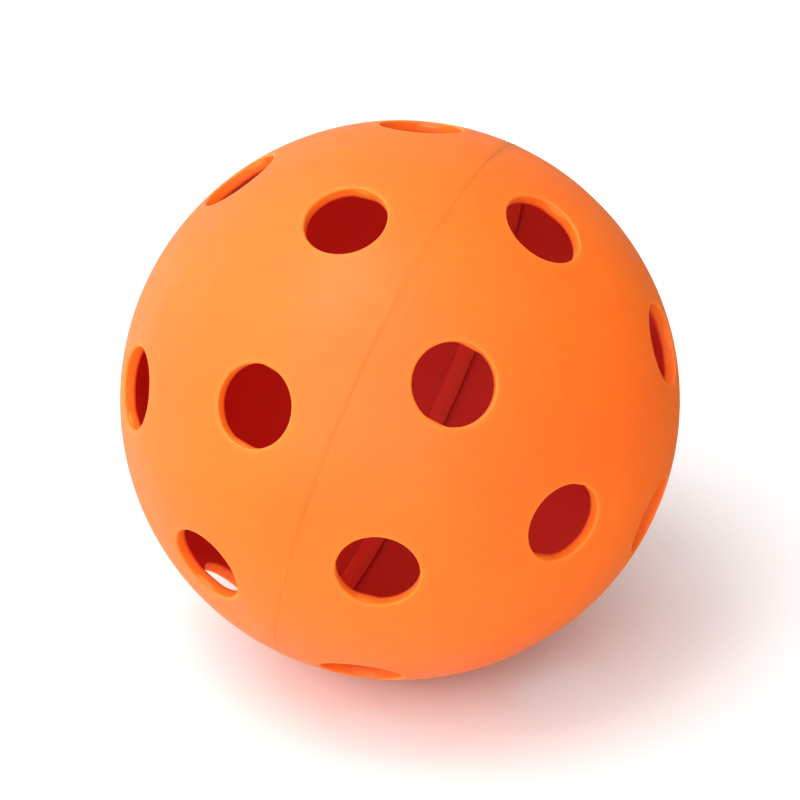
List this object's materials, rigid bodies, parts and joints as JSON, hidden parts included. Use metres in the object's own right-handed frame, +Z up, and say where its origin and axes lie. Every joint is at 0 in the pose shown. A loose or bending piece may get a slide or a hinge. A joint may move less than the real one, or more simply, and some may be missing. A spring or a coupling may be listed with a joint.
{
  "type": "pickleball ball",
  "caption": "Hollow perforated plastic ball moulded in two halves, with a spigot joint welded round its middle.",
  "frame": {"origin": "centre of the ball", "axes": "+Z up with the ball lying on one of its low holes, whose axis is -Z; the pole of the socket half lies 17.8 degrees below +X, in the XZ plane"},
  "size_m": [0.074, 0.074, 0.0735],
  "materials": {
    "ball_plastic": "satin injection-moulded polyethylene, slightly see-through",
    "weld_plastic": "satin melted and set polyethylene"
  },
  "bodies": {
    "root": {"socket_half_shell": "ball_plastic", "spigot_half_shell": "ball_plastic", "weld_bead": "weld_plastic"}
  },
  "joints": []
}
